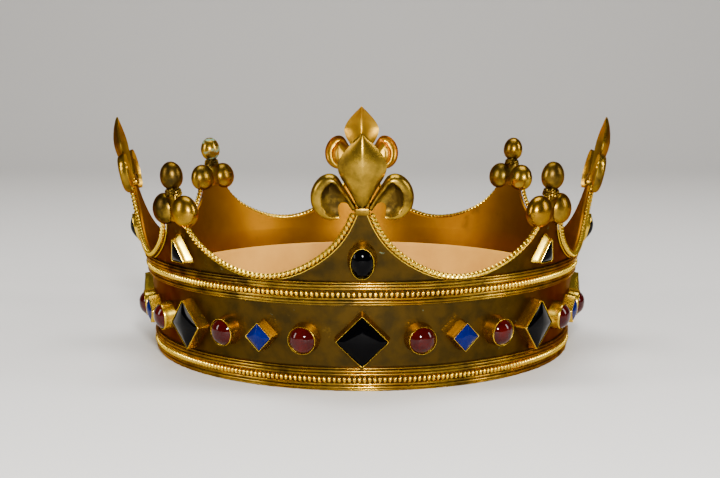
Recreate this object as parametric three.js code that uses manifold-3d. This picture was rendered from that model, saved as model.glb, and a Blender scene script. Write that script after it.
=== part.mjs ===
// An open crown for a full-size head: an oval band between two mouldings, a crest of eight
// points that carry fleurs-de-lis and trefoils in turn, twisted edge wires, and stones in
// tall settings. Millimetres, +Z up. The origin is the middle of the foot, and the front
// fleur faces -Y. Distances round the wall are measured along the foot of the sheet.
import * as THREE from 'three';
import { mergeVertices } from 'three/addons/utils/BufferGeometryUtils.js';
import Module from 'manifold-3d';

const wasm = await Module();
wasm.setup();

// ---------------------------------------------------------------- driving dimensions
const HALF_WIDTH = 86.6; // outer face of the sheet at the foot, side to side
const HALF_DEPTH = 102.6; // the same, front to back
const SHEET = 1.2;
const GAP = 0.3; // between pieces that touch
const BAND_HEIGHT = 41.4; // foot to the top of the upper moulding
const BAND_SLOPE = 0.104; // how far the band leans out for each millimetre up
const CREST_SLOPE = 0.26; // the same above the crease behind the upper moulding
const RAIL_HEIGHT = 8.9; // both mouldings
const RAIL_DEPTH = 2.2; // how far their two ridges stand off the sheet
const RAIL_BED = 1.2; // the same for the ground that the bead row lies on

const POINTS = 8; // fleur, trefoil, fleur, ...
const SCALLOP_CLEARANCE = 0.8; // lowest point of the crest above the upper moulding
const FLEUR_POINT_RISE = 25.0; // from there to the top of a point that carries a fleur
const TREFOIL_POINT_RISE = 19.3;
const FLEUR_NECK = 2.6; // half the width of a point at its top
const TREFOIL_NECK = 6.2;
const SCALLOP_BOWL = 0.75; // share of the rise that is a parabola; the rest turns up steeply
const EDGE_WIRE = 1.6; // diameter
const EDGE_WIRE_RISE = 0.3; // its middle above the edge that it lies in front of
const EDGE_WIRE_REACH = 0.97; // how far it runs from the middle of a scallop to its points

const SWEATBAND_THICKNESS = 2.5;
const SWEATBAND_HEIGHT = 29;
const SWEATBAND_LIFT = 0.6; // its lower edge above the foot

const BEZEL_WALL = 0.5;
const BEZEL_SINK = 0.8; // how deep a setting is let into the sheet
const BAND_BEZEL = 4.5; // how far the settings stand off the band
const OVAL_BEZEL = 4.3; // and off the crest
const TRIANGLE_BEZEL = 3.2;
const STONE_STAND = 0.5; // how far a stone's girdle stands above its bezel
const SETTING_DROP = 0.8; // the row of stones below the middle of the band
const LOZENGE_MARGIN = 1.2; // between a lozenge setting and the moulding nearest to it
const CARNELIAN_RADIUS = 5.0; // these radii are of the settings, out to a corner
const LAPIS_RADIUS = 5.25;
const OVAL_RADII = [4.15, 5.6]; // across and up
const TRIANGLE_RADII = [5.3, 6.4];
const OVAL_CLEARANCE = 2.9; // crest settings above the upper moulding
const TRIANGLE_CLEARANCE = 3.6;
const CARNELIAN_PITCH = 16.4; // from a lapis to the carnelian on each side of it

const FLEUR_HEIGHT = 29.5; // from the foot of its collar to its tip, along the slope
const FLEUR_SLOPE = 0.235; // how far it leans out for each millimetre up
const FLEUR_SPAN = 18.4; // from its middle line to the outside of a side petal
const FLEUR_PLATE = 2.4;
const FLEUR_COLLAR = [2.9, 2.3, 4.4]; // half its width, its height and its depth
const LOBE_RADII = [5.5, 5.2, 4.3]; // a trefoil's lobe: across, up and through
const LOWER_LOBE = [7.4, 3.0]; // its middle from the top of the point: across and up
const TOP_LOBE_HEIGHT = 15.9;
const TREFOIL_SLOPE = 0.11;
const TREFOIL_STEM = [2.4, 2.8]; // half its width, and its thickness

// ---------------------------------------------------------------- sizes that follow
const CREASE = BAND_HEIGHT - RAIL_HEIGHT / 2;
const SCALLOP_LOW = BAND_HEIGHT + SCALLOP_CLEARANCE;
const STONE_LINE = BAND_HEIGHT / 2 - SETTING_DROP;
const LOZENGE_RADIUS = STONE_LINE - RAIL_HEIGHT - LOZENGE_MARGIN;

const OVAL = new THREE.EllipseCurve(0, 0, HALF_WIDTH, HALF_DEPTH, -Math.PI / 2, 1.5 * Math.PI);
OVAL.arcLengthDivisions = 2880;
const GIRTH = OVAL.getLength();
const POINT_PITCH = GIRTH / POINTS;

// ---------------------------------------------------------------- the flared oval wall
function lean(z) {
  const onBand = Math.min(z, CREASE);
  return onBand * BAND_SLOPE + (z - onBand) * CREST_SLOPE;
}

// Outward direction of the wall, seen from above, at a distance round it.
function outward(distance) {
  const turn = distance / GIRTH;
  const along = OVAL.getTangentAt(turn - Math.floor(turn));
  return new THREE.Vector3(along.y, -along.x, 0);
}

// A point at a distance round the wall, a height, and a distance out from the sheet's face.
function wallPoint(distance, z, out) {
  const turn = distance / GIRTH;
  const foot = OVAL.getPointAt(turn - Math.floor(turn));
  const side = outward(distance);
  side.multiplyScalar(lean(z) + out);
  return new THREE.Vector3(foot.x + side.x, foot.y + side.y, z);
}

// A frame on the wall: X along it, Y up a slope, the wall's own unless one is given, and
// Z straight out from that slope.
function wallFrame(distance, z, out, slope = z < CREASE ? BAND_SLOPE : CREST_SLOPE) {
  const side = outward(distance);
  const along = new THREE.Vector3(-side.y, side.x, 0);
  const up = new THREE.Vector3(side.x * slope, side.y * slope, 1).normalize();
  const normal = new THREE.Vector3().crossVectors(along, up);
  const place = wallPoint(distance, z, 0).addScaledVector(normal, out);
  return new THREE.Matrix4().makeBasis(along, up, normal).setPosition(place);
}

// ---------------------------------------------------------------- solids
// Joins shared corners, drops empty triangles and turns the faces outwards.
function closed(geometry) {
  const bare = new THREE.BufferGeometry();
  bare.setAttribute('position', geometry.getAttribute('position').clone());
  bare.setIndex(geometry.index ? geometry.index.clone() : null);
  const merged = mergeVertices(bare, 1e-4);
  const corners = merged.getAttribute('position');
  const old = merged.index.array;
  const kept = [];
  let volume = 0;
  const [a, b, c] = [new THREE.Vector3(), new THREE.Vector3(), new THREE.Vector3()];
  for (let i = 0; i < old.length; i += 3) {
    const [p, q, r] = [old[i], old[i + 1], old[i + 2]];
    if (p === q || q === r || r === p) continue;
    kept.push(p, q, r);
    a.fromBufferAttribute(corners, p);
    b.fromBufferAttribute(corners, q);
    c.fromBufferAttribute(corners, r);
    volume += a.dot(b.cross(c));
  }
  if (volume < 0) kept.reverse();
  merged.setIndex(kept);
  return merged;
}

function toManifold(geometry) {
  const merged = closed(geometry);
  const vertProperties = new Float32Array(merged.getAttribute('position').array);
  const triVerts = new Uint32Array(merged.index.array);
  return new wasm.Manifold(new wasm.Mesh({ numProp: 3, vertProperties, triVerts }));
}

function fromManifold(solid) {
  const mesh = solid.getMesh();
  const geometry = new THREE.BufferGeometry();
  geometry.setAttribute('position', new THREE.BufferAttribute(mesh.vertProperties, 3));
  geometry.setIndex(new THREE.BufferAttribute(mesh.triVerts, 1));
  return geometry;
}

// A closed ring round the wall. section(i) lists [out, z] corners, anticlockwise when
// looking the way the distances run, and has the same number of corners at each station.
function ring(distances, section) {
  const positions = [];
  const index = [];
  distances.forEach((distance, i) => {
    for (const [out, z] of section(i)) {
      positions.push(...wallPoint(distance, z, out));
    }
  });
  const sides = section(0).length;
  for (let i = 0; i < distances.length; i += 1) {
    const next = (i + 1) % distances.length;
    for (let j = 0; j < sides; j += 1) {
      const k = (j + 1) % sides;
      const [a, b] = [i * sides + j, i * sides + k];
      const [c, d] = [next * sides + k, next * sides + j];
      index.push(a, d, c, a, c, b);
    }
  }
  const geometry = new THREE.BufferGeometry();
  geometry.setAttribute('position', new THREE.Float32BufferAttribute(positions, 3));
  geometry.setIndex(index);
  return geometry;
}

function evenDistances(count) {
  return Array.from({ length: count }, (unused, i) => (i * GIRTH) / count);
}

// ---------------------------------------------------------------- the crest's outline
function point(k) {
  const fleur = k % 2 === 0;
  return {
    distance: k * POINT_PITCH,
    neck: fleur ? FLEUR_NECK : TREFOIL_NECK,
    top: SCALLOP_LOW + (fleur ? FLEUR_POINT_RISE : TREFOIL_POINT_RISE),
  };
}

// The scallop between point k and the next one. position runs from -1 to 1 across it.
function scallop(k, position) {
  const from = point(k);
  const to = point(k + 1);
  const start = from.distance + from.neck;
  const end = to.distance - to.neck;
  const top = position < 0 ? from.top : to.top;
  const share = SCALLOP_BOWL * position ** 2 + (1 - SCALLOP_BOWL) * position ** 10;
  return {
    distance: (start + end) / 2 + (position * (end - start)) / 2,
    z: SCALLOP_LOW + (top - SCALLOP_LOW) * share,
  };
}

// Steps across a half scallop, closer together where it turns up to the point.
function halfSteps(count) {
  return Array.from({ length: count + 1 }, (unused, i) => 1 - (1 - i / count) ** 1.5);
}

function scallopSteps(count) {
  const right = halfSteps(count);
  const left = right.slice(1).reverse();
  return [...left.map((step) => -step), ...right];
}

function crestOutline(count) {
  const outline = [];
  for (let k = 0; k < POINTS; k += 1) {
    const { distance, top } = point(k);
    outline.push({ distance, z: top });
    for (const step of scallopSteps(count)) {
      outline.push(scallop(k, step));
    }
  }
  return outline;
}

// ---------------------------------------------------------------- settings and stones
// Drop from a polygon's corner radius to that of the same polygon set in by a margin.
function inset(sides, margin) {
  return margin / Math.cos(Math.PI / sides);
}

// A prism or dome turned on few sides, with a corner up, stretched to its two radii.
function turned(kind, profile, radii) {
  const points = profile.map(([radius, height]) => new THREE.Vector2(radius, height));
  const geometry = new THREE.LatheGeometry(points, kind.sides, Math.PI);
  geometry.rotateX(Math.PI / 2);
  geometry.scale(radii[0], radii[1], 1);
  return geometry;
}

function bezel(kind) {
  const inner = 1 - inset(kind.sides, BEZEL_WALL) / Math.min(...kind.radii);
  const corners = [[inner, -BEZEL_SINK], [1, -BEZEL_SINK], [1, kind.stand], [inner, kind.stand]];
  return turned(kind, [...corners, corners[0]], kind.radii);
}

function stone(kind) {
  const margin = inset(kind.sides, BEZEL_WALL + GAP);
  const radii = kind.radii.map((radius) => radius - margin);
  const girdle = kind.stand + STONE_STAND;
  const profile = [[0, GAP], [1, GAP], [1, girdle], [kind.shoulder, girdle + kind.dome * 0.7]];
  return turned(kind, [...profile, [0, girdle + kind.dome]], radii);
}

const KINDS = {
  onyx_lozenge: { sides: 4, radii: [LOZENGE_RADIUS, LOZENGE_RADIUS], stand: BAND_BEZEL,
    shoulder: 0.6, dome: 1.4, colour: 0x0b0c0f },
  carnelian: { sides: 10, radii: [CARNELIAN_RADIUS, CARNELIAN_RADIUS], stand: BAND_BEZEL,
    shoulder: 0.6, dome: 1.8, colour: 0x7c0d08 },
  lapis: { sides: 4, radii: [LAPIS_RADIUS, LAPIS_RADIUS], stand: BAND_BEZEL,
    shoulder: 0.6, dome: 1.2, colour: 0x12238c },
  onyx_oval: { sides: 12, radii: OVAL_RADII, stand: OVAL_BEZEL,
    shoulder: 0.6, dome: 1.8, colour: 0x0b0c0f },
  onyx_triangle: { sides: 3, radii: TRIANGLE_RADII, stand: TRIANGLE_BEZEL,
    shoulder: 0.6, dome: 1.0, colour: 0x0b0c0f },
};

// Every setting: its stone's name, its kind, and the frame it stands on.
function settings() {
  const list = [];
  const sides = ['front', 'right', 'back', 'left'];
  const corners = ['front_right', 'back_right', 'back_left', 'front_left'];
  const ovalHeight = BAND_HEIGHT + OVAL_CLEARANCE + OVAL_RADII[1];
  const triangleHeight = BAND_HEIGHT + TRIANGLE_CLEARANCE + TRIANGLE_RADII[1] / 2;
  const add = (name, kind, distance, z) => {
    list.push({ name, kind: KINDS[kind], frame: wallFrame(distance, z, 0) });
  };
  for (let k = 0; k < POINTS; k += 1) {
    const { distance } = point(k);
    const middle = distance + POINT_PITCH / 2;
    add(`onyx_lozenge_${k + 1}`, 'onyx_lozenge', distance, STONE_LINE);
    add(`lapis_${k + 1}`, 'lapis', middle, STONE_LINE);
    add(`carnelian_${2 * k + 1}`, 'carnelian', middle - CARNELIAN_PITCH, STONE_LINE);
    add(`carnelian_${2 * k + 2}`, 'carnelian', middle + CARNELIAN_PITCH, STONE_LINE);
    if (k % 2 === 0) {
      add(`onyx_oval_${sides[k / 2]}`, 'onyx_oval', distance, ovalHeight);
    } else {
      add(`onyx_triangle_${corners[(k - 1) / 2]}`, 'onyx_triangle', distance, triangleHeight);
    }
  }
  return list;
}

// ---------------------------------------------------------------- sub-parts
function shellGeometry(allSettings) {
  const outline = crestOutline(7);
  const sheet = ring(outline.map((place) => place.distance), (i) => [
    [-SHEET, 0], [0, 0], [0, CREASE], [0, outline[i].z], [-SHEET, outline[i].z], [-SHEET, CREASE],
  ]);
  const bezels = allSettings.map(({ kind, frame }) => {
    return toManifold(bezel(kind).applyMatrix4(frame));
  });
  return fromManifold(wasm.Manifold.union([toManifold(sheet), ...bezels]));
}

// A moulding: two ridges with a bead row between them, drawn as a low ridge.
function railGeometry(bottom) {
  const top = bottom + RAIL_HEIGHT;
  const middle = bottom + RAIL_HEIGHT / 2;
  const ridge = RAIL_HEIGHT / 8;
  const section = [
    [GAP, bottom], [RAIL_BED, bottom], [RAIL_DEPTH, bottom + ridge],
    [RAIL_BED, bottom + 2 * ridge], [RAIL_DEPTH, middle], [RAIL_BED, top - 2 * ridge],
    [RAIL_DEPTH, top - ridge], [RAIL_BED, top], [GAP, top],
  ];
  return ring(evenDistances(80), () => section);
}

function sweatbandGeometry() {
  const face = -SHEET - GAP;
  const inside = face - SWEATBAND_THICKNESS;
  const bottom = SWEATBAND_LIFT;
  const top = bottom + SWEATBAND_HEIGHT;
  const section = [[inside, bottom], [face, bottom], [face, top], [inside, top]];
  return ring(evenDistances(80), () => section);
}

// The wire lies on the sheet's face, along its edge, and stands a little above that edge.
function edgeWireGeometry(k) {
  const route = scallopSteps(9).map((fullStep) => {
    const step = fullStep * EDGE_WIRE_REACH;
    const here = scallop(k, step);
    const before = scallop(k, step - 0.01);
    const after = scallop(k, step + 0.01);
    const run = new THREE.Vector2(after.distance - before.distance, after.z - before.z);
    run.normalize();
    const reach = EDGE_WIRE_RISE;
    const out = GAP + EDGE_WIRE / 2;
    return wallPoint(here.distance - run.y * reach, here.z + run.x * reach, out);
  });
  const section = new THREE.Shape().absarc(0, 0, EDGE_WIRE / 2, 0, 2 * Math.PI);
  const hexagon = new THREE.Shape(section.getPoints(6).slice(0, 6));
  const extrudePath = new THREE.CatmullRomCurve3(route);
  return new THREE.ExtrudeGeometry(hexagon, { steps: 24, bevelEnabled: false, extrudePath });
}

// Half of a fleur-de-lis, from its tip round one side petal to its collar.
function fleurHalf() {
  const collar = FLEUR_COLLAR[0];
  const half = new THREE.Path();
  half.moveTo(0, FLEUR_HEIGHT);
  half.bezierCurveTo(-1.6, 25.8, -8, 23.8, -8.3, 18.2);
  half.quadraticCurveTo(-8.4, 15, -6.8, 12.4);
  half.quadraticCurveTo(-8.8, 14.8, -11.2, 14.8);
  half.bezierCurveTo(-15.6, 14.8, -FLEUR_SPAN, 11, -FLEUR_SPAN, 6.1);
  half.bezierCurveTo(-FLEUR_SPAN, 1, -14.4, -2.3, -9.8, -2.1);
  half.quadraticCurveTo(-8.2, -2, -7.4, -1.2);
  half.bezierCurveTo(-9.6, 0.6, -8.6, 3.9, -6.2, 3.8);
  half.quadraticCurveTo(-4.2, 3.8, -collar + 0.4, 2);
  return half.getPoints(4);
}

function fleurGeometry() {
  const left = fleurHalf();
  const right = left.slice(1).reverse().map((place) => new THREE.Vector2(-place.x, place.y));
  const plate = new THREE.ExtrudeGeometry(new THREE.Shape([...left, ...right]), {
    depth: FLEUR_PLATE, bevelEnabled: false });
  plate.translate(0, GAP, -FLEUR_PLATE / 2);
  const [halfWidth, height, depth] = FLEUR_COLLAR;
  const collar = new THREE.BoxGeometry(2 * halfWidth, height, depth);
  collar.translate(0, GAP + height / 2, 0);
  return fromManifold(toManifold(plate).add(toManifold(collar)));
}

// Three lobes on a stem, with a slot so that the lower pair sits astride the point and its wires.
function trefoilGeometry() {
  const lobe = (x, y) => {
    const ball = new THREE.SphereGeometry(1, 10, 6);
    ball.scale(...LOBE_RADII);
    ball.translate(x, y, 0);
    return toManifold(ball);
  };
  const [across, up] = LOWER_LOBE;
  const stem = new THREE.BoxGeometry(2 * TREFOIL_STEM[0], TOP_LOBE_HEIGHT - GAP, TREFOIL_STEM[1]);
  stem.translate(0, GAP + (TOP_LOBE_HEIGHT - GAP) / 2, 0);
  const slotHeight = LOBE_RADII[1];
  const slotBack = -SHEET / 2 - 2 * GAP;
  const slotFront = SHEET / 2 + EDGE_WIRE + 3 * GAP;
  const slotDepth = slotFront - slotBack;
  const slot = new THREE.BoxGeometry(4 * (across + LOBE_RADII[0]), slotHeight, slotDepth);
  slot.translate(0, GAP - slotHeight / 2, (slotFront + slotBack) / 2);
  return fromManifold(
    toManifold(stem).add(lobe(-across, up)).add(lobe(across, up)).add(lobe(0, TOP_LOBE_HEIGHT))
      .subtract(toManifold(slot)));
}

// ---------------------------------------------------------------- assembly
const gold = { color: 0xc98a24, metalness: 1, roughness: 0.28 };
const leather = { color: 0xd9b48c, metalness: 0, roughness: 0.85 };
const group = new THREE.Group();

function addPiece(name, geometry, finish, frame) {
  const mesh = new THREE.Mesh(closed(geometry), new THREE.MeshStandardMaterial(finish));
  mesh.name = name;
  if (frame) mesh.applyMatrix4(frame);
  group.add(mesh);
}

const allSettings = settings();
addPiece('shell', shellGeometry(allSettings), gold);
addPiece('lower_moulding', railGeometry(0), gold);
addPiece('upper_moulding', railGeometry(BAND_HEIGHT - RAIL_HEIGHT), gold);
addPiece('sweatband', sweatbandGeometry(), leather);

const ornaments = ['front_fleur', 'front_right_trefoil', 'right_fleur', 'back_right_trefoil',
  'back_fleur', 'back_left_trefoil', 'left_fleur', 'front_left_trefoil'];
ornaments.forEach((name, k) => {
  const { distance, top } = point(k);
  const [geometry, slope] = k % 2 === 0
    ? [fleurGeometry(), FLEUR_SLOPE]
    : [trefoilGeometry(), TREFOIL_SLOPE];
  addPiece(name, geometry, gold, wallFrame(distance, top, -SHEET / 2, slope));
  addPiece(`edge_wire_${k + 1}`, edgeWireGeometry(k), gold);
});

for (const { name, kind, frame } of allSettings) {
  const finish = { color: kind.colour, metalness: 0, roughness: 0.12 };
  addPiece(name, stone(kind), finish, frame);
}

export default group;
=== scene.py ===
# %% [markdown]
# # An open crown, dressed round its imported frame
#
# The crown is a leaning oval wall of gilt brass. A band runs between two beaded mouldings, and above
# them a crest rises to eight points with fleurs-de-lis and trefoils in turn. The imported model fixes
# every size and place. Here the plain solids give way to finished ones: turned settings, domed
# stones, ropes of two twisted strands, embossed petals, single beads, and a leather band inside.
#
# Lengths in the code are millimetres, because that is how a goldsmith measures. One helper turns
# them into Blender's metres when a piece is made.

# %% Load the frame
import math

import bmesh
import bpy
import numpy as np
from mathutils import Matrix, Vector
from mathutils.geometry import delaunay_2d_cdt


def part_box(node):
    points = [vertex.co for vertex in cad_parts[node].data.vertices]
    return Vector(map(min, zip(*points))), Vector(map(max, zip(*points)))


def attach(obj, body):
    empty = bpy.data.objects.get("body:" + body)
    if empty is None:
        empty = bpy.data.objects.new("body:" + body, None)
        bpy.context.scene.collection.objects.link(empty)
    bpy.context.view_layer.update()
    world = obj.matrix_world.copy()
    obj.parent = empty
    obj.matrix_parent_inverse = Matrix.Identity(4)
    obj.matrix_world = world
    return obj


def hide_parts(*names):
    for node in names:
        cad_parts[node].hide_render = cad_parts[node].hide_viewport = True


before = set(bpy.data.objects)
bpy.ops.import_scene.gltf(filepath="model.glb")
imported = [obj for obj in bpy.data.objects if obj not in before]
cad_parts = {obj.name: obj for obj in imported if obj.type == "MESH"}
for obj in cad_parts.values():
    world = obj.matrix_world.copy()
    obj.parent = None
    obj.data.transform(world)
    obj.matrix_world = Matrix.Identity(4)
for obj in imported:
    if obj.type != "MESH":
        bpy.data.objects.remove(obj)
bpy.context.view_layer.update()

MM = 0.001
TAU = 2 * math.pi

# %% [markdown]
# ## The camera
#
# A crown is looked at from a little above its rim, so that the far points show between the near
# ones. The lens is long, which keeps the oval from bulging, and it stands well back. It could aim
# at an empty, but two plain numbers, a height and a tilt, say the same and can't drift.

# %% Camera
CAMERA_LENS = 76.5
CAMERA_BACK = 658.3
CAMERA_HEIGHT = 126.9
CAMERA_TILT = 7.2
CAMERA_ASIDE = -0.8

camera_data = bpy.data.cameras.new("camera")
camera_data.lens = CAMERA_LENS
camera_data.sensor_width = 36
camera = bpy.data.objects.new("camera", camera_data)
bpy.context.scene.collection.objects.link(camera)
camera.location = Vector((CAMERA_ASIDE, -CAMERA_BACK, CAMERA_HEIGHT)) * MM
camera.rotation_euler = (math.radians(90 - CAMERA_TILT), 0, 0)
bpy.context.scene.camera = camera
print("camera at", camera.location[:], "lens", CAMERA_LENS)

# %% [markdown]
# ## The wall as a formula
#
# Everything on the crown sits on one surface: an oval that leans out as it rises, a little on the
# band and more on the crest. Instead of modelling it and snapping pieces to it, it is kept as a
# function from a distance round the foot and a height to a point. The foot's radii are measured on
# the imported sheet, so the two can't disagree.

# %% The oval foot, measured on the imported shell
foot = np.array([v.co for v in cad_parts["shell"].data.vertices]) / MM
foot = foot[foot[:, 2] < 0.01]
HALF_WIDTH = float(foot[:, 0].max())
HALF_DEPTH = float(foot[:, 1].max())
BAND_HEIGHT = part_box("upper_moulding")[1].z / MM
RAIL_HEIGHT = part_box("lower_moulding")[1].z / MM
SHEET = 1.2
BAND_SLOPE = 0.104
CREST_SLOPE = 0.26
CREASE = BAND_HEIGHT - RAIL_HEIGHT / 2

turn_angles = np.linspace(0, TAU, 14401)
oval_x = HALF_WIDTH * np.sin(turn_angles)
oval_y = -HALF_DEPTH * np.cos(turn_angles)
oval_steps = np.hypot(np.diff(oval_x), np.diff(oval_y))
oval_lengths = np.concatenate([[0], np.cumsum(oval_steps)])
GIRTH = float(oval_lengths[-1])
print("foot radii", round(HALF_WIDTH, 2), round(HALF_DEPTH, 2), "girth", round(GIRTH, 1))


# %% Points and frames on the wall
def wall_angle(distance):
    """The oval's own angle at a distance round the foot, 0 at the front."""
    return np.interp(np.mod(distance, GIRTH), oval_lengths, turn_angles)


def wall_outward(distance):
    """The level direction out of the wall, for one distance or many."""
    angle = wall_angle(distance)
    x = np.sin(angle) / HALF_WIDTH
    y = -np.cos(angle) / HALF_DEPTH
    size = np.hypot(x, y)
    return np.stack([x / size, y / size, np.zeros_like(x)], -1)


def lean(z):
    """How far the sheet's face has moved out at a height."""
    on_band = np.minimum(z, CREASE)
    return on_band * BAND_SLOPE + (z - on_band) * CREST_SLOPE


def wall_point(distance, z, out):
    """Points at distances round the foot, heights, and distances out from the sheet's face."""
    distance, z, out = np.broadcast_arrays(*(np.asarray(a, float) for a in (distance, z, out)))
    angle = wall_angle(distance)
    foot_points = np.stack([HALF_WIDTH * np.sin(angle), -HALF_DEPTH * np.cos(angle), z], -1)
    return foot_points + wall_outward(distance) * (lean(z) + out)[..., None]


def wall_frame(distance, z, out=0.0, slope=None):
    """Origin and three directions: along the wall, up a slope (its own by default), out."""
    if slope is None:
        slope = BAND_SLOPE if z < CREASE else CREST_SLOPE
    side = wall_outward(np.array(float(distance)))
    along = np.array([-side[1], side[0], 0])
    up = side * slope + np.array([0, 0, 1])
    up /= np.linalg.norm(up)
    normal = np.cross(along, up)
    return wall_point(distance, z, 0.0) + normal * out, along, up, normal


def place(points, where):
    """Moves points from a wall frame's own axes to the crown's."""
    origin, along, up, normal = where
    return origin + points @ np.stack([along, up, normal])


# %% [markdown]
# ## From points to pieces
#
# Most of the crown is a section carried along a path: rails, wires, settings and stones. So one
# helper joins rows of points into faces, and another makes the mesh, smooths it and rides it on the
# crown's body. A Bevel or Screw modifier could do some of this, but only rows of points follow an
# oval that leans.

# %% Mesh helpers
def loft(rows, ring=False, tube=True, cap=False):
    """Faces between rows of points. ring joins the last row to the first, tube closes each row."""
    rows = np.asarray(rows, float)
    count, width = rows.shape[:2]
    row_steps = count if ring else count - 1
    point_steps = width if tube else width - 1
    i, j = np.meshgrid(np.arange(row_steps), np.arange(point_steps), indexing="ij")
    i, j = i.ravel(), j.ravel()
    i_next, j_next = (i + 1) % count, (j + 1) % width
    faces = np.stack(
        [i * width + j, i_next * width + j, i_next * width + j_next, i * width + j_next], -1
    )
    faces = faces.tolist()
    if cap:
        faces.append(list(range(width)))
        faces.append([(count - 1) * width + k for k in reversed(range(width))])
    return rows.reshape(-1, 3), faces


def make_piece(name, chunks, finishes, replaces=(), sharp=35, merge=False):
    """One object from chunks of points, faces and finish numbers, riding on the crown's body."""
    points, faces, kinds = [], [], []
    start = 0
    for chunk_points, chunk_faces, finish in chunks:
        points.append(np.asarray(chunk_points, float))
        faces.extend([[start + v for v in face] for face in chunk_faces])
        kinds.extend(np.broadcast_to(finish, len(chunk_faces)).tolist())
        start += len(chunk_points)
    mesh = bpy.data.meshes.new(name)
    mesh.from_pydata((np.concatenate(points) * MM).tolist(), [], faces)
    for finish in finishes:
        mesh.materials.append(finish)
    mesh.polygons.foreach_set("material_index", kinds)
    if merge:
        weld_points(mesh)
    mesh.shade_smooth()
    mesh.set_sharp_from_angle(angle=math.radians(sharp))
    mesh.update()
    piece = bpy.data.objects.new(name, mesh)
    bpy.context.scene.collection.objects.link(piece)
    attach(piece, "root")
    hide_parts(*replaces)
    return piece


def weld_points(mesh):
    """Joins points that share a place and turns every face outwards."""
    work = bmesh.new()
    work.from_mesh(mesh)
    bmesh.ops.remove_doubles(work, verts=work.verts, dist=0.002 * MM)
    bmesh.ops.recalc_face_normals(work, faces=work.faces)
    work.to_mesh(mesh)
    work.free()


# %% [markdown]
# ## Finishes
#
# Gilt brass is bright where fingers and cloth reach and brown-green where they don't. So the sheet's
# outside gets a gold with tarnish and a few specks of verdigris, and the ornaments get the same gold
# with less of it. The tarnish colours are darker than tarnish alone: partly real tarnish, partly a
# painted dark reflection. All the golds are built from one function, so they read as one metal. Their
# colours are deeper than clean gilding, a painted dark reflection, because a pale floor mirrored in
# them washes them out. Object coordinates keep the pattern's scale true in metres, and no UV map is
# needed.

# %% Node helpers
def new_finish(name):
    """A material with its Principled shader, and its node tree."""
    finish = bpy.data.materials.new(name)
    finish.use_nodes = True
    tree = finish.node_tree
    return finish, tree, tree.nodes["Principled BSDF"]


def add_node(tree, kind, **values):
    """A node with some of its inputs or settings given by name."""
    node = tree.nodes.new(kind)
    for key, value in values.items():
        if hasattr(node, key):
            setattr(node, key, value)
        else:
            node.inputs[key.replace("_", " ")].default_value = value
    return node


def noise(tree, scale, detail=4.0, rough=0.55):
    """Noise in object space. scale counts features in a metre."""
    where = add_node(tree, "ShaderNodeTexCoord")
    made = add_node(tree, "ShaderNodeTexNoise", Scale=scale, Detail=detail, Roughness=rough)
    tree.links.new(where.outputs["Object"], made.inputs["Vector"])
    return made.outputs["Fac"]


def ramp(tree, value, stops):
    """A colour ramp. stops are (position, colour), and a number as colour is a grey."""
    made = add_node(tree, "ShaderNodeValToRGB")
    marks = made.color_ramp.elements
    while len(marks) < len(stops):
        marks.new(0.5)
    for mark, (position, colour) in zip(marks, stops):
        mark.position = position
        shade = (colour,) * 3 if isinstance(colour, (int, float)) else colour
        mark.color = (*shade, 1)
    tree.links.new(value, made.inputs["Fac"])
    return made.outputs["Color"]


def mix(tree, factor, first, second):
    """Mixes two colours, each a socket or a plain colour, by a factor socket."""
    made = add_node(tree, "ShaderNodeMix", data_type="RGBA", blend_type="MIX")
    for key, value in (("Factor", factor), ("A", first), ("B", second)):
        sockets = [s for s in made.inputs if s.name == key and s.enabled]
        if isinstance(value, bpy.types.NodeSocket):
            tree.links.new(value, sockets[0])
        else:
            sockets[0].default_value = (*value, 1)
    return next(s for s in made.outputs if s.name == "Result" and s.enabled)


def bump(tree, shader, height, distance, strength=1.0):
    """Bump from a height socket. distance is in metres."""
    made = add_node(tree, "ShaderNodeBump", Distance=distance, Strength=strength)
    tree.links.new(height, made.inputs["Height"])
    tree.links.new(made.outputs["Normal"], shader.inputs["Normal"])


# %% Gilt brass, from bright to tarnished
GOLD_LIGHT = (0.64, 0.40, 0.035)
GOLD_DEEP = (0.40, 0.195, 0.008)
# The brightest gold: partly real polish, partly painted light on the settings' walls.
GOLD_POLISHED_AND_LIT = (0.78, 0.53, 0.035)
# The inside's gold is clean, but dark and deep orange: painted shade and orange light bounced round the
# inside of the crown.
GOLD_INSIDE_SHADED = (0.20, 0.079, 0.0012)
GOLD_INSIDE_SHADED_DEEP = (0.14, 0.050, 0.0008)
# Tarnish colours: real tarnish, made darker as a painted dark reflection.
TARNISH_AND_DARK_REFLECTION = (0.062, 0.035, 0.006)
TARNISH_AND_DARK_REFLECTION_DEEP = (0.034, 0.022, 0.006)
EDGE_TINT = (0.62, 0.36, 0.09, 1)
VERDIGRIS = (0.12, 0.22, 0.14)


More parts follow.
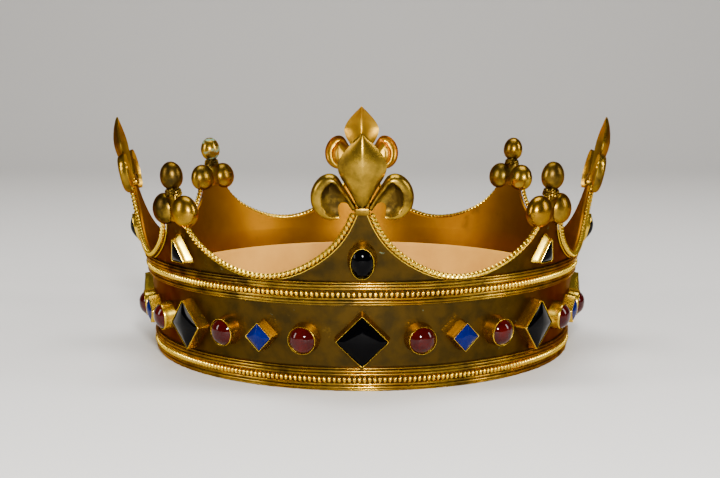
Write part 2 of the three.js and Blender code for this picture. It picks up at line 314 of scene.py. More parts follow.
def gilt(name, tarnish, specks, shine, light=GOLD_LIGHT, deep=GOLD_DEEP):
    """tarnish and specks run from 0 to 1, and shine is the roughness of clean metal."""
    finish, tree, shader = new_finish(name)
    clean = mix(tree, ramp(tree, noise(tree, 35), [(0.35, 0.0), (0.65, 1.0)]), light, deep)
    start = 0.62 - 0.5 * tarnish
    broad = ramp(tree, noise(tree, 60, 6, 0.65), [(start, 0.0), (start + 0.38, 1.0)])
    patches = ramp(tree, noise(tree, 160, 5), [(0.4, 0.0), (0.65, 1.0)])
    brown = mix(tree, patches, TARNISH_AND_DARK_REFLECTION, TARNISH_AND_DARK_REFLECTION_DEEP)
    aged = mix(tree, broad, clean, brown)
    first = 0.80 - 0.36 * specks
    spots = ramp(tree, noise(tree, 330, 3), [(first, 0.0), (first + 0.09, 1.0)])
    colour = mix(tree, spots, aged, VERDIGRIS)
    tree.links.new(colour, shader.inputs["Base Color"])
    metal = ramp(tree, spots, [(0.0, 1.0), (1.0, 0.0)])
    tree.links.new(metal, shader.inputs["Metallic"])
    dull = mix(tree, broad, (shine,) * 3, (shine + 0.2,) * 3)
    rough = mix(tree, spots, dull, (0.8,) * 3)
    tree.links.new(rough, shader.inputs["Roughness"])
    shader.inputs["Specular Tint"].default_value = EDGE_TINT
    bump(tree, shader, noise(tree, 700, 4), 0.00004, 0.5)
    return finish


# The brightest finish, for beads, wires and settings. On the settings it also paints the light falling
# on their walls.
gilt_bright = gilt("gilt_bright", 0.1, 0.0, 0.25, GOLD_POLISHED_AND_LIT, GOLD_LIGHT)
gilt_ornament = gilt("gilt_ornament", 0.72, 0.03, 0.19)
gilt_worn = gilt("gilt_worn", 0.72, 0.12, 0.17)
gilt_green = gilt("gilt_green", 0.5, 0.8, 0.2)
# The bowl finish is darker and rougher. Its darkness is painted shade in the hollow of each side petal.
gilt_bowl_shade = gilt("gilt_bowl_shade", 0.95, 0.06, 0.34)
gilt_back = gilt("gilt_back", 0.35, 0.06, 0.32)
# The sheet's outside is almost all tarnish colour: real tarnish with a painted dark reflection in it.
gilt_tarnish_and_dark_reflection = gilt("gilt_tarnish_and_dark_reflection", 1.25, 0.24, 0.2)
gilt_inside_shaded = gilt("gilt_inside_shaded", 0.12, 0.06, 0.42, GOLD_INSIDE_SHADED, GOLD_INSIDE_SHADED_DEEP)
print("gilt finishes made")


# %% Polished stones
def polished(name, colour, vein, vein_scale, vein_share, index):
    """A polished opaque stone with a faint second colour in it. index sets how much it mirrors."""
    finish, tree, shader = new_finish(name)
    share = ramp(tree, noise(tree, vein_scale, 6, 0.6), [(1 - vein_share, 0.0), (1.0, 1.0)])
    tree.links.new(mix(tree, share, colour, vein), shader.inputs["Base Color"])
    rough = ramp(tree, noise(tree, 500, 2), [(0.0, 0.04), (1.0, 0.10)])
    tree.links.new(rough, shader.inputs["Roughness"])
    shader.inputs["IOR"].default_value = index
    return finish


onyx = polished("onyx", (0.0004, 0.0004, 0.0006), (0.0015, 0.0015, 0.002), 90, 0.4, 1.14)
carnelian = polished("carnelian", (0.024, 0.0006, 0.0004), (0.085, 0.003, 0.0015), 160, 0.55, 1.3)
lapis = polished("lapis", (0.0006, 0.0025, 0.060), (0.003, 0.010, 0.13), 260, 0.5, 1.22)
print("stone finishes made")

# %% [markdown]
# ## Floor and light
#
# A pale sheet of card that curves up behind gives one plain tone with no horizon. Gold has no
# colour of its own without something to mirror, so the light comes from a few soft boxes with dim
# air between them: the gaps become the dark accents that make metal look like metal.

# %% Floor sweep
FLOOR_FRONT = -1600
FLOOR_BACK = 900
FLOOR_WIDTH = 5200
FLOOR_BEND = 500
FLOOR_RISE = 1500

profile = [(FLOOR_FRONT, 0.0), (FLOOR_BACK, 0.0)]
for step in range(1, 13):
    bend = step / 12 * math.pi / 2
    profile.append((FLOOR_BACK + FLOOR_BEND * math.sin(bend), FLOOR_BEND * (1 - math.cos(bend))))
profile.append((FLOOR_BACK + FLOOR_BEND, FLOOR_RISE))
floor_rows = [[(x, y, z) for x in (-FLOOR_WIDTH / 2, FLOOR_WIDTH / 2)] for y, z in profile]
floor_points, floor_faces = loft(floor_rows, tube=False)
floor_mesh = bpy.data.meshes.new("floor")
floor_mesh.from_pydata((floor_points * MM).tolist(), [], [face[::-1] for face in floor_faces])
floor_mesh.shade_smooth()
floor_finish, _, floor_shader = new_finish("floor_card")
floor_shader.inputs["Base Color"].default_value = (0.70, 0.68, 0.65, 1)
floor_shader.inputs["Roughness"].default_value = 0.75
floor_mesh.materials.append(floor_finish)
floor = bpy.data.objects.new("floor", floor_mesh)
bpy.context.scene.collection.objects.link(floor)
print("floor sweep", FLOOR_WIDTH, "mm wide")


# %% Soft boxes
AIM = (0, 0, 45)


def soft_box(name, at, size, power, tint=(1, 1, 1)):
    """An area light at a place in millimetres, facing the middle of the crown."""
    data = bpy.data.lights.new(name, "AREA")
    data.shape = "RECTANGLE"
    data.size, data.size_y = size[0] * MM, size[1] * MM
    data.energy = power
    data.color = tint
    light = bpy.data.objects.new(name, data)
    light.location = Vector(at) * MM
    light.rotation_euler = (Vector(AIM) - Vector(at)).to_track_quat("-Z", "Y").to_euler()
    bpy.context.scene.collection.objects.link(light)
    return light


soft_box("overhead", (0, 150, 1150), (800, 600), 15)
soft_box("near_camera", (30, -690, 260), (70, 50), 9)
soft_box("left_side", (-1050, -350, 420), (200, 600), 8, (1, 0.95, 0.88))
soft_box("right_side", (1050, -250, 480), (200, 600), 8, (1, 0.97, 0.92))

world = bpy.data.worlds.new("studio_air")
world.use_nodes = True
world.node_tree.nodes["Background"].inputs["Color"].default_value = (0.34, 0.33, 0.32, 1)
world.node_tree.nodes["Background"].inputs["Strength"].default_value = 0.22
bpy.context.scene.world = world

# %% [markdown]
# ## The crest's outline
#
# Each scallop hangs between two points like a slack chain that turns up sharply at its ends. A
# parabola gives the bowl and a high power gives the turn, so the whole crest needs one formula and
# six sizes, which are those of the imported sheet.

# %% Scallops
POINTS = 8
POINT_PITCH = GIRTH / POINTS
SCALLOP_CLEARANCE = 0.8
FLEUR_RISE = 25.0
TREFOIL_RISE = 19.3
SCALLOP_LOW = BAND_HEIGHT + SCALLOP_CLEARANCE
FLEUR_TOP = SCALLOP_LOW + FLEUR_RISE
TREFOIL_TOP = SCALLOP_LOW + TREFOIL_RISE
FLEUR_NECK = 2.6
TREFOIL_NECK = 6.2
SCALLOP_BOWL = 0.75
SCALLOP_POWER = 10


def crest_point(k):
    """Distance, half width and height of point k's top. Even ones carry fleurs."""
    fleur = k % 2 == 0
    return k * POINT_PITCH, FLEUR_NECK if fleur else TREFOIL_NECK, FLEUR_TOP if fleur else TREFOIL_TOP


def scallop(k, position):
    """Distance and height along the scallop after point k, for positions from -1 to 1."""
    position = np.asarray(position, float)
    from_distance, from_neck, from_top = crest_point(k)
    to_distance, to_neck, to_top = crest_point(k + 1)
    start, end = from_distance + from_neck, to_distance - to_neck
    top = np.where(position < 0, from_top, to_top)
    share = SCALLOP_BOWL * position**2 + (1 - SCALLOP_BOWL) * position**SCALLOP_POWER
    return (start + end) / 2 + position * (end - start) / 2, SCALLOP_LOW + (top - SCALLOP_LOW) * share


def even_positions(k, count):
    """Positions that lie evenly along the scallop's own curve."""
    fine = np.linspace(-1.0, 1.0, 800)
    distance, z = scallop(k, fine)
    length = np.concatenate([[0], np.cumsum(np.hypot(np.diff(distance), np.diff(z)))])
    return np.interp(np.linspace(0, length[-1], count), length, fine), float(length[-1])


# %% [markdown]
# ## The sheet
#
# Band and crest are one sheet, bent at a crease that the upper moulding hides. It is lofted from
# stations round the oval: up the outside, over the edge and down the inside. The outside takes the
# tarnished gold, whose darkness is partly a painted dark reflection. The inside takes a clean gold,
# because nothing rubs or weathers it there, made dark and deep orange as painted shade and orange
# bounced light.

# %% Sheet
outline = []
for k in range(POINTS):
    distance, neck, top = crest_point(k)
    outline.extend([(distance + share * neck, top) for share in (-0.6, -0.2, 0.2, 0.6)])
    positions, _ = even_positions(k, 64)
    outline.extend(zip(*scallop(k, positions)))
outline = np.array(outline)
station_distance, station_top = outline[:, 0], outline[:, 1]

EDGE_ROUND = 0.25
up_band = np.linspace(0, CREASE, 7)
up_crest = np.linspace(0.08, 1.0, 9)
rise = station_top - CREASE
crest_heights = [CREASE + rise * share - EDGE_ROUND * (share == 1) for share in up_crest]
columns = [wall_point(station_distance, z, 0.0) for z in up_band]
columns += [wall_point(station_distance, z, 0.0) for z in crest_heights]
outside_columns = len(columns)
columns.append(wall_point(station_distance, station_top, -EDGE_ROUND))
columns.append(wall_point(station_distance, station_top, -SHEET + EDGE_ROUND))
columns += [wall_point(station_distance, z, -SHEET) for z in crest_heights[::-1]]
columns += [wall_point(station_distance, z, -SHEET) for z in up_band[::-1]]
rows = np.stack(columns, 1)
sheet_points, sheet_faces = loft(rows, ring=True)
width = rows.shape[1]
outside_faces = [f for f in sheet_faces if f[0] % width < outside_columns - 1]
inside_faces = [f for f in sheet_faces if f[0] % width >= outside_columns - 1]
sheet = make_piece(
    "band_and_crest",
    [(sheet_points, outside_faces, 0), (sheet_points, inside_faces, 1)],
    [gilt_tarnish_and_dark_reflection, gilt_inside_shaded],
    ["shell"],
    merge=True,
)
print("sheet:", len(sheet.data.polygons), "faces")

# %% [markdown]
# ## The mouldings
#
# A moulding is drawn wire soldered in a stack: three round ridges, a flat ground with beads on it,
# and three ridges again. The stack is one section carried round the oval. The beads are real domes
# and not a bump, because their outline shows against the floor at both sides.

# %% Moulding section
RIDGE_RADII = (0.38, 0.62, 0.56)
RIDGE_OUTS = (0.62, 0.98, 0.92)
RAIL_GROUND = 0.72
RAIL_STATIONS = 400


def arc(out, z, radius, start, end, count):
    """Points on an arc in the section, with angles in degrees from straight out."""
    return [
        (out + radius * math.cos(math.radians(a)), z + radius * math.sin(math.radians(a)))
        for a in np.linspace(start, end, count)
    ]


def rail_section(bottom):
    """Out and up, from the foot of the moulding to its top."""
    half = [(-0.2, 0.0), (0.45, 0.0)]
    z = 0.0
    for radius, out in zip(RIDGE_RADII, RIDGE_OUTS):
        half += arc(out, z + radius, radius, -82, 82, 8)
        z += 2 * radius
    half += [(RAIL_GROUND, z + 0.12)]
    other = [(out, RAIL_HEIGHT - z) for out, z in reversed(half)]
    return [(out, bottom + z) for out, z in half + other]


def rail(name, bottom, node):
    """A whole moulding without its beads."""
    section = rail_section(bottom)
    stations = np.arange(RAIL_STATIONS) * GIRTH / RAIL_STATIONS
    rows = np.stack([wall_point(stations, z, out) for out, z in section], 1)
    points, faces = loft(rows, ring=True)
    # The sunk ground between the ridges takes the darkest tarnished finish: real tarnish in the recess,
    # and painted shade.
    ground = len(section) // 2 - 1
    plain = [face for face in faces if face[0] % len(section) != ground]
    sunk = [face for face in faces if face[0] % len(section) == ground]
    chunks = [(points, plain, 0), (points, sunk, 1)]
    return make_piece(name, chunks, [gilt_worn, gilt_tarnish_and_dark_reflection], [node], merge=True)


upper_bottom = BAND_HEIGHT - RAIL_HEIGHT
lower_rail = rail("lower_moulding_rails", 0.0, "lower_moulding")
rail("upper_moulding_rails", upper_bottom, "upper_moulding")
print("rails:", len(lower_rail.data.polygons), "faces each")

# %% Bead rows
BEADS = 324
BEAD_RADII = (0.82, 1.4, 1.3)
BEAD_SIDES = 10


def dome(radii, sides, levels):
    """A half ball with its flat side down, as rows from the foot to a small top."""
    rows = []
    for level in np.linspace(0, 0.92, levels):
        angle = level * math.pi / 2
        ring_radius = math.cos(angle)
        turn = np.arange(sides) * TAU / sides
        x = radii[0] * ring_radius * np.cos(turn)
        y = radii[1] * ring_radius * np.sin(turn)
        rows.append(np.stack([x, y, np.full(sides, radii[2] * math.sin(angle))], -1))
    return np.array(rows)


def cap_last(points, faces, sides):
    """Closes the last row of a loft with one face."""
    start = len(points) - sides
    return points, faces + [[start + k for k in range(sides)]]


def bead_row(name, bottom, node):
    """One domed bead after another along the middle of a moulding."""
    middle = bottom + RAIL_HEIGHT / 2
    shape = cap_last(*loft(dome(BEAD_RADII, BEAD_SIDES, 5)), BEAD_SIDES)
    chunks = []
    for i in range(BEADS):
        where = wall_frame((i + 0.5) * GIRTH / BEADS, middle, RAIL_GROUND - 0.05)
        chunks.append((place(shape[0], where), shape[1], 0))
    return make_piece(name, chunks, [gilt_bright], [node])


bead_row("lower_moulding_beads", 0.0, "lower_moulding")
bead_row("upper_moulding_beads", upper_bottom, "upper_moulding")
print("beads:", 2 * BEADS)

# %% [markdown]
# ## Twisted edge wires
#
# Two round strands are twisted together and laid along the edge of each scallop, on its outside. A
# plain tube with a striped bump looks flat at its outline, so both strands are modelled. Each one
# is a helix round the scallop's own curve, and half a turn apart the two touch. A thin plain wire
# guards the lower side of the pair.

# %% Twisted wires
STRAND_RADIUS = 0.60
STRAND_OFFSET = 0.50
TWIST_PITCH = 3.5
TWIST_STEPS = 12
STRAND_SIDES = 8
EDGE_RISE = 0.3
GUARD_RADIUS = 0.3
GUARD_DROP = 1.35


def strand_rows(path, across, outward, phase, turns):
    """Rows of a strand that winds round a path with its own cross directions."""
    count = len(path)
    angle = phase + TAU * turns * np.linspace(0, 1, count)
    reach = np.cos(angle)[:, None] * outward + np.sin(angle)[:, None] * across
    middle = path + STRAND_OFFSET * reach
    forward = np.gradient(middle, axis=0)
    forward /= np.linalg.norm(forward, axis=1)[:, None]
    side = np.cross(forward, outward)
    side /= np.linalg.norm(side, axis=1)[:, None]
    rise = np.cross(side, forward)
    spots = np.arange(STRAND_SIDES) * TAU / STRAND_SIDES
    spread = np.cos(spots)[None, :, None] * side[:, None] + np.sin(spots)[None, :, None] * rise[:, None]
    return middle[:, None] + STRAND_RADIUS * spread


def twisted(path, outward, length, closed=False):
    """Both strands of a twisted wire along a path, as chunks."""
    turns = max(2, round(length / TWIST_PITCH))
    forward = np.gradient(path, axis=0)
    forward /= np.linalg.norm(forward, axis=1)[:, None]
    across = np.cross(outward, forward)
    chunks = []
    for phase in (0, math.pi):
        rows = strand_rows(path, across, outward, phase, turns)
        chunks.append((*loft(rows, ring=closed, cap=not closed), 0))
    return chunks


def along_edge(k, count, rise, out):
    """A path on the sheet's face, set square to scallop k's edge by a rise and out by a bit."""
    positions, length = even_positions(k, count)
    distance, z = scallop(k, positions)
    run, climb = np.gradient(distance), np.gradient(z)
    size = np.hypot(run, climb)
    path = wall_point(distance - climb / size * rise, z + run / size * rise, out)
    return path, wall_outward(distance), length


def plain_wire(path, outward, radius, sides=6):
    """A round wire along a path, as one chunk."""
    forward = np.gradient(path, axis=0)
    forward /= np.linalg.norm(forward, axis=1)[:, None]
    across = np.cross(outward, forward)
    spots = np.arange(sides) * TAU / sides
    spread = np.cos(spots)[None, :, None] * outward[:, None]
    spread = spread + np.sin(spots)[None, :, None] * across[:, None]
    return (*loft(path[:, None] + radius * spread, cap=True), 0)


rope_out = STRAND_RADIUS + STRAND_OFFSET - 0.1
for k in range(POINTS):
    _, _, length = along_edge(k, 3, 0, 0)
    count = int(length / TWIST_PITCH * TWIST_STEPS)
    path, outward, length = along_edge(k, count, EDGE_RISE, rope_out)
    chunks = twisted(path, outward, length)
    guard, guard_outward, _ = along_edge(k, 120, EDGE_RISE - GUARD_DROP, GUARD_RADIUS - 0.05)
    chunks.append(plain_wire(guard, guard_outward, GUARD_RADIUS))
    make_piece(f"twisted_wire_{k + 1}", chunks, [gilt_bright], [f"edge_wire_{k + 1}"])
print("twisted wires:", POINTS, "of about", round(length, 1), "mm")

# %% [markdown]
# ## Settings
#
# A setting is a strip of sheet bent to the stone's outline and soldered upright. It flares a little
# towards the wall and its rim is rubbed over the stone. One function draws every outline, a circle
# or a polygon with eased corners, at any inset, and the settings and stones are both lofted from it.

# %% Outlines at any inset
def rounded_polygon(sides, radii, inset, ease, count=6):
    """A polygon with a corner up, set in by a margin, with its corners eased to a radius."""
    shrink = inset / math.cos(math.pi / sides)
    corner_radii = [radius - shrink for radius in radii]
    pull = ease / math.cos(math.pi / sides)
    points = []
    for k in range(sides):
        middle = TAU * k / sides + math.pi / 2
        for a in np.linspace(-math.pi / sides, math.pi / sides, count):
            x = (corner_radii[0] - pull) * math.cos(middle) + ease * math.cos(middle + a)
            y = (corner_radii[1] - pull) * math.sin(middle) + ease * math.sin(middle + a)
            points.append((x, y))
        here = np.array(points[-1])
        following = TAU * (k + 1) / sides + math.pi / 2
        first_turn = following - math.pi / sides
        there = np.array([
            (corner_radii[0] - pull) * math.cos(following) + ease * math.cos(first_turn),
            (corner_radii[1] - pull) * math.sin(following) + ease * math.sin(first_turn),
        ])
        points.extend(tuple(here + (there - here) * share) for share in (0.25, 0.5, 0.75))
    return np.array(points)


def stone_outline(kind, inset):
    """The outline of a setting or stone, set in from the setting's outside."""
    if kind["sides"]:
        ease = max(0.15, kind["ease"] - 0.6 * inset)
        return rounded_polygon(kind["sides"], kind["radii"], inset, ease)
    turn = np.linspace(0, TAU, 41)[:-1]
    across, up = (radius - inset for radius in kind["radii"])
    return np.stack([across * np.cos(turn), up * np.sin(turn)], -1)


def raised(kind, steps):
    """Rows of an outline from (inset, height) steps."""
    rows = []
    for inset, height in steps:
        flat = stone_outline(kind, inset)
        rows.append(np.column_stack([flat, np.full(len(flat), height)]))
    return np.array(rows)


# %% The five kinds
def cut(sides, radii, ease, stand, flare, dome_height, fullness, finish):
    """One kind of stone and its setting. A circle or an oval has no sides."""
    return {
        "sides": sides, "radii": radii, "ease": ease, "stand": stand, "flare": flare,
        "dome": dome_height, "fullness": fullness, "finish": finish,
    }


STONE_DROP = 0.8
LOZENGE_MARGIN = 1.2
LOZENGE_RADIUS = BAND_HEIGHT / 2 - STONE_DROP - RAIL_HEIGHT - LOZENGE_MARGIN
KINDS = {
    "onyx_lozenge": cut(4, (LOZENGE_RADIUS + 0.2,) * 2, 0.7, 4.4, 0.55, 1.8, 2.2, onyx),
    "carnelian": cut(0, (5.35, 5.35), 0, 4.4, 0.6, 2.7, 2.6, carnelian),
    "lapis": cut(4, (5.75, 5.75), 0.6, 4.4, 0.5, 1.5, 2.2, lapis),
    "onyx_oval": cut(0, (4.4, 6.1), 0, 4.0, 1.1, 2.4, 2.6, onyx),
    "onyx_triangle": cut(3, (5.7, 6.8), 0.7, 3.3, 1.2, 1.4, 2.2, onyx),
}
WALL = 0.3
SINK = 0.9


def setting_chunk(kind, where):
    """A flared collar with a rubbed-over rim, as one closed wall."""
    stand, flare = kind["stand"], kind["flare"]
    steps = [
        (-flare, -SINK), (-flare * 0.8, 0.5), (-flare * 0.25, stand * 0.5), (0.0, stand * 0.85),
        (0.0, stand), (0.10, stand + 0.18), (WALL * 0.6, stand + 0.2), (WALL, stand + 0.05),
        (WALL, stand - 0.6), (WALL, -SINK),
    ]
    rows = raised(kind, steps)
    points, faces = loft(rows, ring=True)
    return place(points, where), faces, 0


def stone_chunk(kind, where):
    """A stone from its hidden foot to the middle of its dome, which rounds off inwards."""
    stand = kind["stand"]
    edge = stone_outline(kind, WALL + 0.02)
    turn = np.arctan2(edge[:, 1], edge[:, 0])
    reach = np.linalg.norm(edge, axis=1).min()
    circle = reach * np.stack([np.cos(turn), np.sin(turn)], -1)
    rows = [np.column_stack([edge, np.full(len(edge), stand - depth)]) for depth in (1.5, 0.1)]
    for share in (0.97, 0.92, 0.84, 0.74, 0.62, 0.49, 0.35, 0.2, 0.06):
        height = stand - 0.1 + kind["dome"] * (1 - share**kind["fullness"])
        flat = share * (share * edge + (1 - share) * circle)
        rows.append(np.column_stack([flat, np.full(len(edge), height)]))
    points, faces = loft(rows)
    points, faces = cap_last(points, faces, len(edge))
    return place(points, where), faces, 0


# %% Every setting and its stone
OVAL_CLEARANCE = 2.9
OVAL_REACH = 5.6
TRIANGLE_CLEARANCE = 3.6
TRIANGLE_REACH = 3.2
STONE_LINE = BAND_HEIGHT / 2 - STONE_DROP
OVAL_LINE = BAND_HEIGHT + OVAL_CLEARANCE + OVAL_REACH
TRIANGLE_LINE = BAND_HEIGHT + TRIANGLE_CLEARANCE + TRIANGLE_REACH
CARNELIAN_PITCH = 16.4
SIDES = ("front", "right", "back", "left")
CORNERS = ("front_right", "back_right", "back_left", "front_left")

band_settings, crest_settings, placed = [], [], []
for k in range(POINTS):
    distance = k * POINT_PITCH
    middle = distance + POINT_PITCH / 2
    placed.append((f"onyx_lozenge_{k + 1}", "onyx_lozenge", distance, STONE_LINE))
    placed.append((f"lapis_{k + 1}", "lapis", middle, STONE_LINE))
    placed.append((f"carnelian_{2 * k + 1}", "carnelian", middle - CARNELIAN_PITCH, STONE_LINE))
    placed.append((f"carnelian_{2 * k + 2}", "carnelian", middle + CARNELIAN_PITCH, STONE_LINE))
    if k % 2 == 0:
        placed.append((f"onyx_oval_{SIDES[k // 2]}", "onyx_oval", distance, OVAL_LINE))
    else:
        placed.append((f"onyx_triangle_{CORNERS[k // 2]}", "onyx_triangle", distance, TRIANGLE_LINE))

for node, kind_name, distance, z in placed:
    kind = KINDS[kind_name]
    where = wall_frame(distance, z)
    (band_settings if z < CREASE else crest_settings).append(setting_chunk(kind, where))
    make_piece(f"{node}_stone", [stone_chunk(kind, where)], [kind["finish"]], [node])
# The settings take the brightest gold: their polish, and painted light falling on their walls.
make_piece("band_settings", band_settings, [gilt_bright], ["shell"])
make_piece("crest_settings", crest_settings, [gilt_bright], ["shell"])
print("settings:", len(placed))

# %% [markdown]
# ## Fleurs-de-lis
#
# Each fleur is three petals stamped from thin sheet, so it is full at the front and hollow behind.
# Every petal is a flat outline filled with fine triangles and then pushed out by a height formula:
# a keeled dome for the middle one, and a raised rim round a dish for the side ones. The back is the
# same surface set in by the sheet's thickness, which leaves the hollow that shows from inside.

# %% Filled outlines with a height
PETAL_SHEET = 0.7
TRIANGLE_ROW = 0.866


def smooth_line(points, count):
    """A Catmull-Rom curve through a few points."""
    points = np.array(points, float)
    padded = np.vstack([2 * points[0] - points[1], points, 2 * points[-1] - points[-2]])
    spots = np.linspace(0, len(points) - 1 - 1e-9, count)
    i = spots.astype(int)
    t = (spots - i)[:, None]
    a, b, c, d = padded[i], padded[i + 1], padded[i + 2], padded[i + 3]
    curve = 2 * b + (c - a) * t + (2 * a - 5 * b + 4 * c - d) * t**2
    return 0.5 * (curve + (3 * b - a - 3 * c + d) * t**3)


def nearest_on(line, points):
    """Each point's shortest distance to a polyline, and how far along it that is, from 0 to 1."""
    start, end = line[:-1], line[1:]
    run = end - start
    share = ((points[:, None] - start) * run).sum(-1) / np.maximum((run * run).sum(-1), 1e-12)
    share = np.clip(share, 0, 1)
    apart = np.linalg.norm(points[:, None] - start - share[..., None] * run, axis=-1)
    i = apart.argmin(1)
    row = np.arange(len(points))
    return apart[row, i], (i + share[row, i]) / len(start)


def filled(border, spacing):
    """Triangles that fill a border, with a fine even grid of points inside it."""
    low, high = border.min(0), border.max(0)
    grid = []
    for row, y in enumerate(np.arange(low[1], high[1], spacing * TRIANGLE_ROW)):
        xs = np.arange(low[0] + (row % 2) * spacing / 2, high[0], spacing)
        grid.extend((x, y) for x in xs)
    grid = np.array(grid)
    closed = np.vstack([border, border[:1]])
    inside = np.zeros(len(grid), bool)
    for (x0, y0), (x1, y1) in zip(closed[:-1], closed[1:]):
        crosses = (y0 > grid[:, 1]) != (y1 > grid[:, 1])
        with np.errstate(divide="ignore", invalid="ignore"):
            at = x0 + (grid[:, 1] - y0) * (x1 - x0) / (y1 - y0)
        inside ^= crosses & (grid[:, 0] < at)
    grid = grid[inside]
    grid = grid[nearest_on(closed, grid)[0] > spacing * 0.45]
    points = [Vector(p) for p in np.vstack([border, grid])]
    edges = [(i, (i + 1) % len(border)) for i in range(len(border))]
    made = delaunay_2d_cdt(points, edges, [list(range(len(border)))], 1, 1e-6)
    return np.array([tuple(v) for v in made[0]]), [list(f) for f in made[2]]


def embossed(border, height, spacing=0.5, lift=0.0):
    """A stamped sheet: its front pushed out by height(points), its back following inside.

    The third list holds a finish for each face: 0 for the front and the edge, and 2 for the back.
    """
    flat, faces = filled(border, spacing)
    raise_by = height(flat) + lift
    count = len(flat)
    front = np.column_stack([flat, raise_by])
    back = np.column_stack([flat, raise_by - PETAL_SHEET])
    sides = {}
    for face in faces:
        for a, b in zip(face, face[1:] + face[:1]):
            sides[(a, b)] = True
    rim = [(a, b) for a, b in sides if (b, a) not in sides]
    walls = [[b, a, a + count, b + count] for a, b in rim]
    back_faces = [[v + count for v in reversed(face)] for face in faces]
    finishes = np.repeat([0, 2, 0], [len(faces), len(faces), len(walls)])
    return np.vstack([front, back]), faces + back_faces + walls, finishes


# %% The middle petal
PETAL_SIDE = [(0.5, 1.4), (1.6, 3.0), (2.6, 4.8), (4.2, 7.8), (5.9, 10.8), (7.8, 14.1), (8.7, 17.2),
              (8.4, 19.6), (6.5, 23.0), (3.5, 26.5), (1.4, 28.6), (0, 30.1)]
petal_right = smooth_line(PETAL_SIDE, 56)
petal_border = np.vstack([petal_right, petal_right[-2:0:-1] * (-1, 1)])
PETAL_DEPTH = 3.9
PETAL_KEEL = 0.42
FLEUR_SLOPE = 0.235


def petal_height(points):
    """A keeled dome, highest where the petal is widest."""
    half = np.interp(points[:, 1], petal_right[:, 1], petal_right[:, 0])
    t = np.clip(np.abs(points[:, 0]) / np.maximum(half, 0.05), 0, 1)
    round_off = 1 - ((t + PETAL_KEEL) / (1 + PETAL_KEEL)) ** 2
    full = 1 - (PETAL_KEEL / (1 + PETAL_KEEL)) ** 2
    depth = PETAL_DEPTH * np.clip(half / 8.6, 0, 1) ** 0.8
    return depth * round_off / full


petal = embossed(petal_border, petal_height, lift=0.9)
print("middle petal:", len(petal[0]), "points")

# %% The side petals
LOBE_OUTER = [(1.9, 1.9), (4.4, 6.4), (6.9, 10.6), (9.0, 13.8), (11.6, 14.8), (14.6, 13.8),
              (17.0, 11.2), (18.3, 7.9), (18.4, 4.6), (17.5, 1.6), (15.4, -0.9), (12.6, -2.2),
              (9.8, -2.25), (7.9, -1.6)]
LOBE_RIMS = [0.7, 0.9, 1.2, 1.7, 2.7, 3.2, 3.4, 3.5, 3.5, 3.3, 2.9, 2.3, 1.6, 1.0]
LOBE_NOTCH = [(7.9, -1.6), (8.4, 0.3), (8.6, 2.2), (7.9, 3.8), (6.5, 4.3), (5.3, 3.9),
              (4.4, 2.6), (3.4, 1.1)]
lobe_outer = smooth_line(LOBE_OUTER, 84)
lobe_notch = smooth_line(LOBE_NOTCH, 34)
lobe_border = np.vstack([lobe_outer, lobe_notch[1:]])
LOBE_HEIGHT = 3.0
LOBE_DISH = 2.9
LOBE_FALL = 3.6


def lobe_height(points):
    """A round rim that climbs from the outer edge to a crest, then falls into a bowl."""
    edge, along = nearest_on(lobe_outer, points)
    rim = np.interp(along, np.linspace(0, 1, len(LOBE_RIMS)), LOBE_RIMS)
    from_collar = np.hypot(points[:, 0] - 1.9, points[:, 1] - 1.9)
    grow = np.clip(from_collar / 13, 0, 1)
    fullness = 0.45 + 0.55 * grow * grow * (3 - 2 * grow)
    climb = np.clip(edge / rim, 0, 1)
    crest = LOBE_HEIGHT * fullness * np.sqrt(1 - (1 - climb) ** 2.2)
    fall = np.clip((edge - rim) / LOBE_FALL, 0, 1)
    dish = LOBE_DISH * fullness * (1 - (1 - fall) ** 2)
    return crest - dish


def in_shaded_bowl(points, faces):
    """Which faces lie in a side petal's bowl, which takes a darker finish as painted shade."""
    middles = np.array([points[face].mean(0) for face in faces])
    edge, along = nearest_on(lobe_outer, middles[:, :2])
    rim = np.interp(along, np.linspace(0, 1, len(LOBE_RIMS)), LOBE_RIMS)
    return edge > rim + 0.4


lobe = embossed(lobe_border, lobe_height)
# The faces in the bowl take the darker finish: painted shade.
lobe[2][in_shaded_bowl(*lobe[:2]) & (lobe[2] == 0)] = 1
print("side petal:", len(lobe[0]), "points")


# %% Assemble a fleur
def mirrored(points, faces, finishes):
    """The same piece on the other side."""
    return points * (-1, 1, 1), [face[::-1] for face in faces], finishes


def eased_box(low, high, ease):
    """A block with eased edges, as a loft of rounded rectangles up its height."""
    rows = []
    low, high = np.array(low, float), np.array(high, float)
    for inset, y in ((ease, low[1]), (0, low[1] + ease), (0, high[1] - ease), (ease, high[1])):
        corners = []
        for sx, sz, start in ((1, 1, 0), (-1, 1, 90), (-1, -1, 180), (1, -1, 270)):
            cx = (high[0] if sx > 0 else low[0]) - sx * ease
            cz = (high[2] if sz > 0 else low[2]) - sz * ease
            for a in (0, 30, 60, 90):
                turn = math.radians(start + a)
                reach = ease - inset * 0.6
                corners.append((cx + reach * math.cos(turn), y, cz + reach * math.sin(turn)))
        rows.append(corners[::-1])
    points, faces = loft(rows, cap=True)
    return points, faces, 0


def fleur(name, k):
    """Three petals, a root behind them and a collar, standing on point k."""
    distance, _, top = crest_point(k)
    where = wall_frame(distance, top, -SHEET / 2, FLEUR_SLOPE)
    parts = [petal, lobe, mirrored(*lobe)]
    parts.append(eased_box((-2.6, 0.2, -0.9), (2.6, 5.0, 0.9), 0.4))
    parts.append(eased_box((-2.75, -0.1, -1.7), (2.75, 2.4, 2.3), 0.55))
    chunks = [(place(points, where), faces, finish) for points, faces, finish in parts]
    finishes = [gilt_ornament, gilt_bowl_shade, gilt_back]
    return make_piece(f"{name}_petals", chunks, finishes, [name], sharp=42)


for k in range(0, POINTS, 2):
    fleur(f"{SIDES[k // 2]}_fleur", k)
print("fleurs:", POINTS // 2)

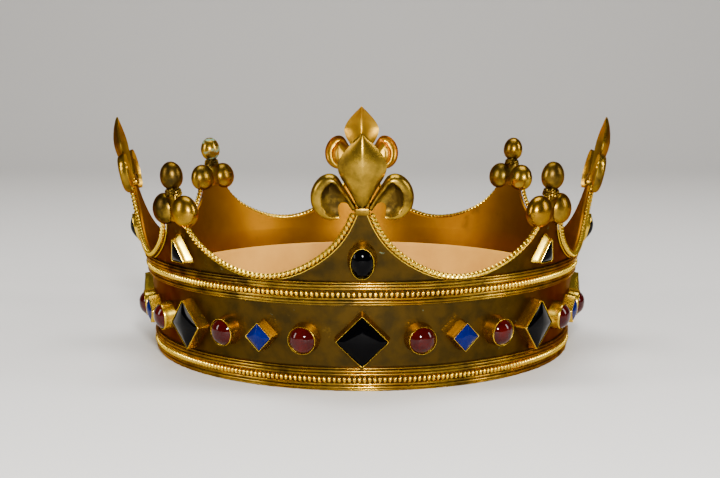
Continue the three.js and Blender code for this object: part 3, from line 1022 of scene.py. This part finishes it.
# %% [markdown]
# ## Trefoils
#
# Three egg-shaped hollow lobes sit on a short stem: two side by side astride the point and one above.
# A ring of twisted wire hides each joint. A lobe is a lathe shape, fuller below than above, and it
# could be a UV sphere with scaled rows, but a lofted profile keeps its rings even.

# %% Lobes and stems
LOBE_SIDES = 28
TREFOIL_SLOPE = 0.11
GREEN_TREFOIL = "back_left_trefoil"


def egg(across, up, through, middle, finish=0):
    """A lobe that is fuller in its lower half, lofted up its height."""
    rows = []
    for angle in np.linspace(-0.97, 0.97, 19) * math.pi / 2:
        ring_radius = math.cos(angle) ** 0.92 * (1 - 0.07 * math.sin(angle))
        turn = np.arange(LOBE_SIDES)[::-1] * TAU / LOBE_SIDES
        x = middle[0] + across * ring_radius * np.cos(turn)
        z = through * ring_radius * np.sin(turn)
        rows.append(np.stack([x, np.full(LOBE_SIDES, middle[1] + up * math.sin(angle)), z], -1))
    points, faces = loft(rows, cap=True)
    return points, faces, finish


def wire_ring(middle, radii):
    """A small ring of twisted wire round a stem."""
    length = TAU * sum(radii) / 2
    count = int(length / TWIST_PITCH * TWIST_STEPS * 1.6)
    turn = np.linspace(0, TAU, count, endpoint=False)
    outward = np.stack([np.cos(turn), np.zeros(count), np.sin(turn)], -1)
    path = np.stack([radii[0] * np.cos(turn), np.zeros(count), radii[1] * np.sin(turn)], -1)
    path = path + np.array([middle[0], middle[1], 0.0])
    return path, outward, length


def trefoil(name, k):
    """Lobes, stem and wire rings, standing astride point k."""
    distance, _, top = crest_point(k)
    where = wall_frame(distance, top, -SHEET / 2, TREFOIL_SLOPE)
    parts = [egg(6.2, 6.1, 4.6, (side * 7.1, 3.0)) for side in (-1, 1)]
    parts.append(egg(4.7, 5.4, 4.3, (0, 16.3), int(name == GREEN_TREFOIL)))
    parts.append(eased_box((-3.2, -1.4, -1.5), (3.2, 9.5, 1.5), 0.6))
    parts.append(eased_box((-2.0, 7.0, -1.9), (2.0, 13.5, 1.9), 0.7))
    chunks = [(place(points, where), faces, finish) for points, faces, finish in parts]
    origin, along, up, normal = where
    turned = np.stack([along, up, normal])
    for middle, radii in (((0, 9.3), (2.5, 2.3)), ((0, 10.3), (2.2, 2.1))):
        path, outward, length = wire_ring(middle, radii)
        for points, faces, _ in twisted(path, outward, length, closed=True):
            chunks.append((origin + points @ turned, faces, 0))
    finishes = [gilt_worn, gilt_green]
    return make_piece(f"{name}_lobes", chunks, finishes, [name], sharp=42)


for k in range(1, POINTS, 2):
    trefoil(f"{CORNERS[k // 2]}_trefoil", k)
print("trefoils:", POINTS // 2)

# %% [markdown]
# ## The sweatband
#
# A strip of pale leather lines the inside, a little proud of the metal, with a soft rolled top
# edge. It is a sheet that was cut flat and laid round the wall. Its small waves come from a formula,
# with no simulation, because glued leather hardly moves.

# %% Sweatband
leather, leather_tree, leather_shader = new_finish("pale_leather_and_gold_bounce")
# Cream leather, tinted strongly orange. The tint is painted light bounced from the gold walls round it.
leather_tone_and_gold_bounce = mix(
    leather_tree, ramp(leather_tree, noise(leather_tree, 45, 5), [(0.3, 0.0), (0.7, 1.0)]),
    (0.68, 0.32, 0.032), (0.54, 0.23, 0.018),
)
leather_tree.links.new(leather_tone_and_gold_bounce, leather_shader.inputs["Base Color"])
leather_shader.inputs["Roughness"].default_value = 0.7
bump(leather_tree, leather_shader, noise(leather_tree, 1500, 3), 0.00015, 0.4)

BAND_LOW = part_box("sweatband")[0].z / MM
BAND_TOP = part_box("sweatband")[1].z / MM
LEATHER = 1.4
LEATHER_FACE = -SHEET - 0.35
LEATHER_STATIONS = 260

stations = np.arange(LEATHER_STATIONS) * GIRTH / LEATHER_STATIONS
wave = 0.25 * np.sin(TAU * 9 * stations / GIRTH) + 0.15 * np.sin(TAU * 23 * stations / GIRTH + 1)
strip_height = BAND_TOP - BAND_LOW
section = [
    (0.0, BAND_LOW), (0.0, BAND_TOP - 0.8), (-0.4, BAND_TOP - 0.15), (-0.9, BAND_TOP - 0.1),
    (-LEATHER, BAND_TOP - 0.8),
]
for share in np.linspace(0.04, 1, 8):
    belly = 0.5 * math.sin(math.pi * share)
    section.append((-LEATHER - belly, BAND_TOP - strip_height * (0.03 + 0.97 * share)))
columns = []
for out, z in section:
    swell = wave * 0.5 if out < -1 else 0.0
    columns.append(wall_point(stations, z, LEATHER_FACE + out + swell))
leather_chunk = (*loft(np.stack(columns, 1), ring=True), 0)
sweatband = make_piece(
    "leather_sweatband", [leather_chunk], [leather], ["sweatband"]
)
